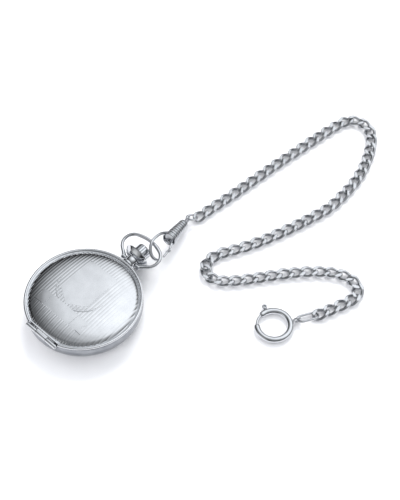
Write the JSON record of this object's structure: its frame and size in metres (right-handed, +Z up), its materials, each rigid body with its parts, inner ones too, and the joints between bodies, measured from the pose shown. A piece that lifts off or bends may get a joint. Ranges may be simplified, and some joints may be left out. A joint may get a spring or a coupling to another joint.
{
  "type": "hunter pocket watch",
  "caption": "Hunter pocket watch with engraved hinged cover, crown in a domed pendant, oval bow, swivel clip, curb chain and spring ring, with a wound lever movement inside.",
  "frame": {"origin": "centre of the flat back of the case, on the surface the watch lies on", "axes": "+Z up through dial and front cover; +Y from the case centre towards the pendant at 12 o'clock; +X to 3 o'clock"},
  "size_m": [0.1034, 0.1816, 0.0135],
  "materials": {
    "polished_steel": "mirror polished",
    "engraved_steel": "polished with fine engine-turned lines",
    "knurled_steel": "polished, fluted",
    "ribbed_steel": "polished ribs with dark grooves",
    "chain_steel": "polished, diamond cut",
    "ring_steel": "polished",
    "acrylic": "clear, polished",
    "spring_steel": "fine ground",
    "wheel_steel": "sunray brushed",
    "blued_steel": "heat blued, polished",
    "gilt_plate": "gilt, fine striping",
    "brass": "polished",
    "ruby": "polished synthetic ruby",
    "enamel": "white enamel"
  },
  "bodies": {
    "root": {"case_middle": "polished_steel", "back_cover": "polished_steel", "crystal_bezel": "polished_steel", "crystal": "acrylic", "case_hinge_tubes": "polished_steel", "hinge_pin": "spring_steel", "lift_spring": "spring_steel", "case_screws": "spring_steel", "pendant": "polished_steel", "bow_screws": "spring_steel", "click_spring": "spring_steel", "mainplate": "gilt_plate", "barrel_bridge": "gilt_plate", "train_bridge": "gilt_plate", "balance_cock": "gilt_plate", "pallet_bridge": "gilt_plate", "movement_screws": "blued_steel", "jewels": "ruby", "dial": "enamel", "chain_links": "chain_steel", "chain_rings": "chain_steel", "spring_ring": "ring_steel"},
    "lid": {"front_cover": "engraved_steel", "lid_hinge_tube": "polished_steel"},
    "lock_catch": {"lock_spring": "spring_steel"},
    "bow": {"bow": "polished_steel"},
    "crown_push": {"push_sleeve": "spring_steel"},
    "crown": {"crown": "knurled_steel"},
    "stem": {"winding_stem": "spring_steel", "winding_pinion": "spring_steel", "clutch_wheel": "spring_steel"},
    "crown_wheel": {"crown_wheel": "spring_steel"},
    "ratchet": {"ratchet_wheel": "wheel_steel", "ratchet_screw": "blued_steel", "barrel_arbor": "spring_steel"},
    "click": {"click": "spring_steel"},
    "barrel": {"barrel": "brass", "barrel_cover": "brass", "mainspring": "blued_steel"},
    "centre": {"centre_wheel": "brass"},
    "third": {"third_wheel": "brass"},
    "fourth": {"fourth_wheel": "brass", "seconds_hand": "blued_steel"},
    "escape": {"escape_wheel": "spring_steel"},
    "pallets": {"pallet_fork": "spring_steel"},
    "balance": {"balance_wheel": "brass", "hairspring": "blued_steel"},
    "minute_arm": {"cannon_pinion": "spring_steel", "minute_hand": "blued_steel"},
    "minute_wheel": {"minute_wheel": "brass"},
    "hour_arm": {"hour_wheel": "brass", "hour_hand": "blued_steel"},
    "setting_wheel": {"setting_wheel": "spring_steel"},
    "clip_swivel": {"clip_eye": "polished_steel"},
    "clip": {"clip_barrel": "ribbed_steel", "clip_hook": "polished_steel", "clip_gate_pin": "spring_steel"},
    "clip_gate": {"clip_gate": "polished_steel"},
    "ring_bolt": {"ring_bolt": "ring_steel"}
  },
  "joints": [
    {"name": "lid_hinge", "type": "hinge", "parent": "root", "child": "lid", "pos_m": [0, -0.0231, 0.0096], "axis": [1, 0, 0], "range_deg": [0, 100]},
    {"name": "crown_press", "type": "slide", "parent": "root", "child": "crown_push", "axis": [0, -1, 0], "range_m": [0, 0.00045], "stiffness_N_per_m": 2500},
    {"name": "crown_turn", "type": "hinge", "parent": "crown_push", "child": "crown", "pos_m": [0, 0.026, 0.0068], "axis": [0, 1, 0], "continuous": true},
    {"name": "lock_catch_slide", "type": "slide", "parent": "root", "child": "lock_catch", "axis": [0, -1, 0], "range_m": [0, 0.00045]},
    {"name": "stem_turn", "type": "hinge", "parent": "root", "child": "stem", "pos_m": [0, 0.02, 0.0068], "axis": [0, 1, 0], "continuous": true},
    {"name": "crown_wheel_turn", "type": "hinge", "parent": "root", "child": "crown_wheel", "pos_m": [0, 0.00911, 0.0068], "axis": [0, 0, 1], "continuous": true},
    {"name": "ratchet_turn", "type": "hinge", "parent": "root", "child": "ratchet", "pos_m": [-0.00769, 0.00444, 0.0068], "axis": [0, 0, 1], "continuous": true},
    {"name": "click_tilt", "type": "hinge", "parent": "root", "child": "click", "pos_m": [-0.00769, -0.00206, 0.0068], "axis": [0, 0, 1], "range_deg": [0, 8], "stiffness_Nm_per_rad": 0.0001},
    {"name": "seconds_turn", "type": "hinge", "parent": "root", "child": "fourth", "pos_m": [0, -0.0076, 0.0068], "axis": [0, 0, 1], "continuous": true},
    {"name": "centre_turn", "type": "hinge", "parent": "root", "child": "centre", "pos_m": [0, 0, 0.0068], "axis": [0, 0, 1], "continuous": true},
    {"name": "third_turn", "type": "hinge", "parent": "root", "child": "third", "pos_m": [0.00313, -0.00412, 0.0068], "axis": [0, 0, 1], "continuous": true},
    {"name": "barrel_turn", "type": "hinge", "parent": "root", "child": "barrel", "pos_m": [-0.00769, 0.00444, 0.0068], "axis": [0, 0, 1], "continuous": true},
    {"name": "escape_turn", "type": "hinge", "parent": "root", "child": "escape", "pos_m": [-0.00151, -0.01174, 0.0068], "axis": [0, 0, 1], "continuous": true},
    {"name": "pallet_rock", "type": "hinge", "parent": "root", "child": "pallets", "pos_m": [-0.00423, -0.01135, 0.0068], "axis": [0, 0, 1], "range_deg": [-5, 5]},
    {"name": "balance_swing", "type": "hinge", "parent": "root", "child": "balance", "pos_m": [-0.00705, -0.01095, 0.0068], "axis": [0, 0, 1], "range_deg": [-270, 270], "stiffness_Nm_per_rad": 0.0000003},
    {"name": "minute_turn", "type": "hinge", "parent": "root", "child": "minute_arm", "pos_m": [0, 0, 0.0068], "axis": [0, 0, 1], "continuous": true},
    {"name": "minute_wheel_turn", "type": "hinge", "parent": "root", "child": "minute_wheel", "pos_m": [0.0024, 0.00416, 0.0068], "axis": [0, 0, 1], "continuous": true},
    {"name": "hour_turn", "type": "hinge", "parent": "root", "child": "hour_arm", "pos_m": [0, 0, 0.0068], "axis": [0, 0, 1], "continuous": true},
    {"name": "setting_wheel_turn", "type": "hinge", "parent": "root", "child": "setting_wheel", "pos_m": [0.0006, 0.00946, 0.0068], "axis": [0, 0, 1], "continuous": true},
    {"name": "bow_swing", "type": "hinge", "parent": "root", "child": "bow", "pos_m": [0, 0.0269, 0.0068], "axis": [1, 0, 0], "range_deg": [0, 10]},
    {"name": "clip_pitch", "type": "hinge", "parent": "root", "child": "clip_swivel", "pos_m": [0.00045, 0.0607, 0.0029], "axis": [-1, 0, 0], "range_deg": [0, 6]},
    {"name": "clip_turn", "type": "hinge", "parent": "clip_swivel", "child": "clip", "pos_m": [0.00395, 0.04555, 0.007], "axis": [-0.2185, 0.9416, -0.2561], "range_deg": [-4, 4]},
    {"name": "gate_swing", "type": "hinge", "parent": "clip", "child": "clip_gate", "pos_m": [0.00745, 0.0414, 0.0063], "axis": [-0.5295, -0.3343, -0.7797], "range_deg": [0, 18], "stiffness_Nm_per_rad": 0.001},
    {"name": "ring_bolt_slide", "type": "hinge", "parent": "root", "child": "ring_bolt", "pos_m": [0.0615, 0.046, 0.00145], "axis": [0, 0, -1], "range_deg": [0, 42], "stiffness_Nm_per_rad": 0.001}
  ],
  "couplings": [
    {"joint": "lock_catch_slide", "follows": "crown_press", "ratio": 1},
    {"joint": "stem_turn", "follows": "crown_turn", "ratio": 1},
    {"joint": "crown_wheel_turn", "follows": "crown_turn", "ratio": 0.42857},
    {"joint": "ratchet_turn", "follows": "crown_turn", "ratio": -0.375},
    {"joint": "centre_turn", "follows": "seconds_turn", "ratio": 0.016667},
    {"joint": "third_turn", "follows": "seconds_turn", "ratio": -0.13333},
    {"joint": "barrel_turn", "follows": "seconds_turn", "ratio": -0.002381},
    {"joint": "escape_turn", "follows": "seconds_turn", "ratio": -10},
    {"joint": "minute_wheel_turn", "follows": "minute_turn", "ratio": -0.33333},
    {"joint": "hour_turn", "follows": "minute_turn", "ratio": 0.083333},
    {"joint": "setting_wheel_turn", "follows": "minute_turn", "ratio": 0.6},
    {"joint": "clip_pitch", "follows": "bow_swing", "ratio": 0.45}
  ]
}
